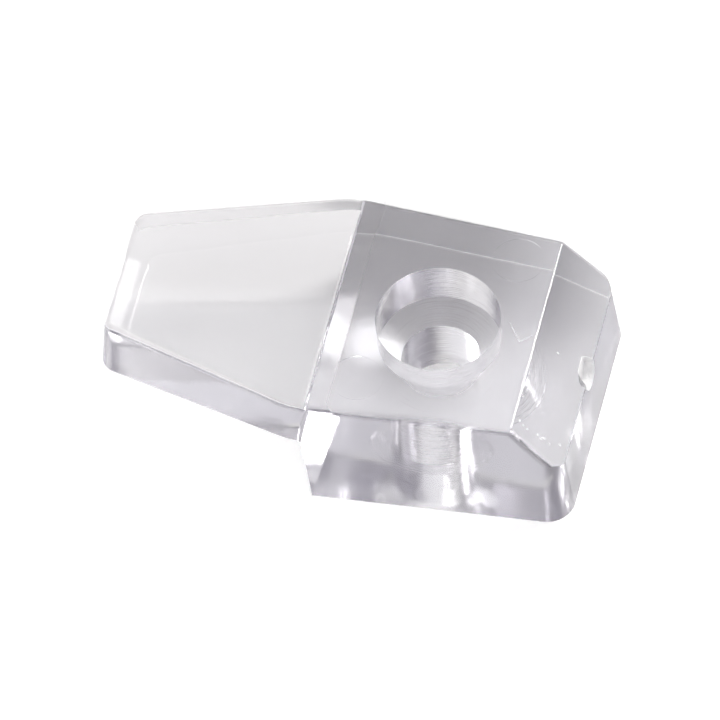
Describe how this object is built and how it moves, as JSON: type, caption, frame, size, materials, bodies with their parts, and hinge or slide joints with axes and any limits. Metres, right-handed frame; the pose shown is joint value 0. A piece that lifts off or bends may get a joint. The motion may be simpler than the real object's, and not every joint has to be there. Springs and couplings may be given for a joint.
{
  "type": "mirror clip",
  "caption": "Clear moulded mirror clip: a square block with a counterbored screw hole and a tapering tongue that holds the glass to the wall.",
  "frame": {"origin": "axis of the screw hole, on the flat back face that stands against the wall", "axes": "+Z out of the wall along the screw axis, -X along the tongue over the glass, +X towards the sloped end, Y across the clip"},
  "size_m": [0.0372, 0.022, 0.0099],
  "materials": {
    "clear_plastic": "transparent, colourless, polished as moulded"
  },
  "bodies": {
    "root": {"mirror_clip": "clear_plastic"}
  },
  "joints": []
}
